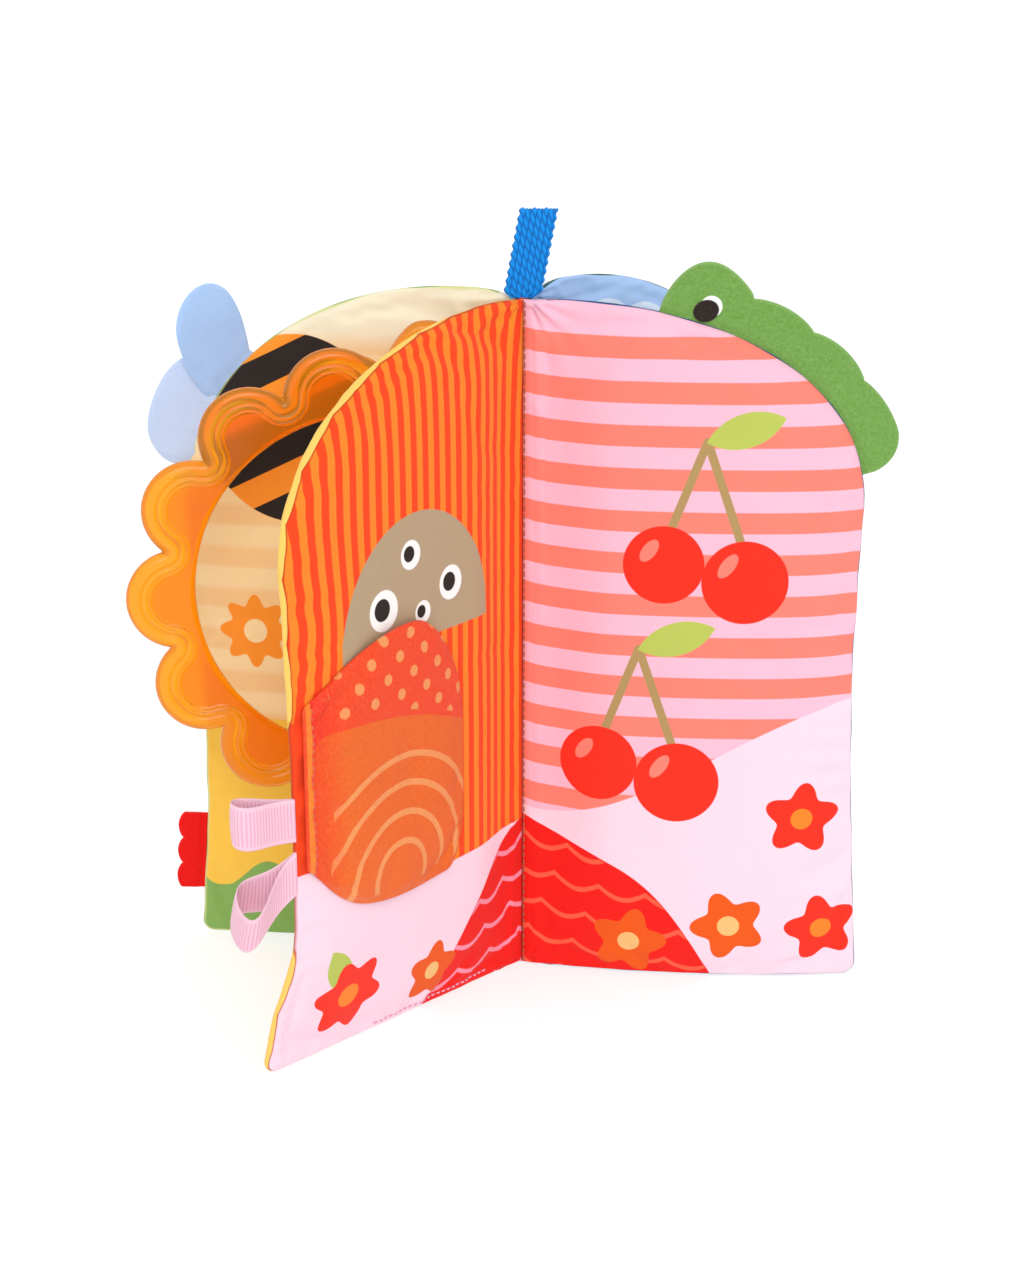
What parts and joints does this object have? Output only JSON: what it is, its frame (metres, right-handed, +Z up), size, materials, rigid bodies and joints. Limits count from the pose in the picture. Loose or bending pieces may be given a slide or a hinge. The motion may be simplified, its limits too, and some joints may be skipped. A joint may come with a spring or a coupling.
{
  "type": "baby soft book",
  "caption": "Padded cloth book standing with its leaves fanned out, with a scalloped teether ring, a flap, ribbon and webbing loops, wings and felt pieces sewn into its seams.",
  "frame": {"origin": "foot of the spine, on the surface that the book stands on", "axes": "+Z up along the spine, +X to the reader's right, the reader sits towards -Y"},
  "size_m": [0.269, 0.1951, 0.2799],
  "materials": {
    "print_orange": "printed polyester, striped",
    "print_pink": "printed polyester, striped",
    "print_cream": "printed polyester, striped",
    "print_blue": "printed polyester",
    "cloth_yellow": "printed polyester",
    "cloth_navy": "printed polyester",
    "cloth_green": "printed polyester",
    "cloth_dark_green": "printed polyester",
    "wadding": "loose polyester fibre sheet",
    "crinkle_film": "crumpled film",
    "spine_cloth": "stitched seam",
    "webbing": "woven webbing",
    "flap_satin": "satin",
    "flap_lining": "plain weave",
    "ribbon": "ribbed ribbon",
    "green_felt": "felt",
    "red_felt": "felt",
    "wing_blue": "soft brushed cloth",
    "wing_pale_blue": "soft brushed cloth",
    "orange_silicone": "translucent silicone, satin",
    "tab_cloth": "plain weave"
  },
  "bodies": {
    "spine": {"spine_core": "spine_cloth"},
    "left_page": {"left_page_front": "print_orange", "left_page_back": "cloth_yellow", "left_page_crinkle_film": "crinkle_film", "left_page_wadding": "wadding"},
    "right_page": {"right_page_front": "print_pink", "right_page_back": "cloth_navy", "right_page_crinkle_film": "crinkle_film", "right_page_wadding": "wadding", "felt_crest": "green_felt"},
    "front_cover": {"front_cover_front": "print_cream", "front_cover_back": "cloth_green", "front_cover_crinkle_film": "crinkle_film", "front_cover_wadding": "wadding"},
    "back_cover": {"back_cover_front": "print_blue", "back_cover_back": "cloth_dark_green", "back_cover_crinkle_film": "crinkle_film", "back_cover_wadding": "wadding"},
    "ring": {"teether_ring": "orange_silicone", "ring_tab_lower": "tab_cloth", "ring_tab_upper": "tab_cloth"},
    "flap": {"flap_outer": "flap_satin", "flap_lining": "flap_lining"},
    "ribbon_upper": {"ribbon_loop_upper": "ribbon"},
    "ribbon_lower": {"ribbon_loop_lower": "ribbon"},
    "webbing": {"webbing_loop": "webbing"},
    "upper_wing": {"wing_upper": "wing_blue"},
    "lower_wing": {"wing_lower": "wing_pale_blue"},
    "tail": {"felt_tail": "red_felt"}
  },
  "joints": [
    {"name": "left_page_turn", "type": "hinge", "parent": "spine", "child": "left_page", "pos_m": [-0.0026, -0.002, 0], "axis": [0, 0, 1], "range_deg": [-8, 80]},
    {"name": "right_page_turn", "type": "hinge", "parent": "spine", "child": "right_page", "pos_m": [0.0026, -0.002, 0], "axis": [0, 0, 1], "range_deg": [-12, 20]},
    {"name": "front_cover_turn", "type": "hinge", "parent": "spine", "child": "front_cover", "pos_m": [-0.0026, 0.002, 0], "axis": [0, 0, 1], "range_deg": [-45, 5]},
    {"name": "back_cover_turn", "type": "hinge", "parent": "spine", "child": "back_cover", "pos_m": [0.0026, 0.002, 0], "axis": [0, 0, 1], "range_deg": [-20, 55]},
    {"name": "ring_swing", "type": "hinge", "parent": "spine", "child": "ring", "pos_m": [-0.0034, 0, 0], "axis": [0, 0, 1], "range_deg": [-8, 18]},
    {"name": "flap_lift", "type": "hinge", "parent": "left_page", "child": "flap", "pos_m": [-0.07063, -0.09724, 0.1], "axis": [0, 0, 1], "range_deg": [-150, 0]},
    {"name": "ribbon_upper_flip", "type": "hinge", "parent": "left_page", "child": "ribbon_upper", "pos_m": [-0.07521, -0.09836, 0.0885], "axis": [-0.0039, -0.0052, 1], "range_deg": [-35, 35]},
    {"name": "ribbon_lower_flip", "type": "hinge", "parent": "left_page", "child": "ribbon_lower", "pos_m": [-0.07532, -0.0985, 0.069], "axis": [0.007, 0.0092, 0.9999], "range_deg": [-35, 35]},
    {"name": "webbing_flop", "type": "hinge", "parent": "spine", "child": "webbing", "pos_m": [0, 0, 0.25175], "axis": [1, 0, 0], "range_deg": [-55, 55]},
    {"name": "upper_wing_flip", "type": "hinge", "parent": "front_cover", "child": "upper_wing", "pos_m": [-0.10403, 0.02514, 0.22064], "axis": [0.6717, -0.0677, 0.7377], "range_deg": [-3, 60]},
    {"name": "lower_wing_flip", "type": "hinge", "parent": "front_cover", "child": "lower_wing", "pos_m": [-0.11695, 0.02628, 0.2018], "axis": [0.4437, -0.0309, 0.8956], "range_deg": [-60, 3]},
    {"name": "tail_flip", "type": "hinge", "parent": "front_cover", "child": "tail", "pos_m": [-0.12444, 0.02675, 0.018], "axis": [0.0676, -0.0037, 0.9977], "range_deg": [-40, 40]}
  ]
}
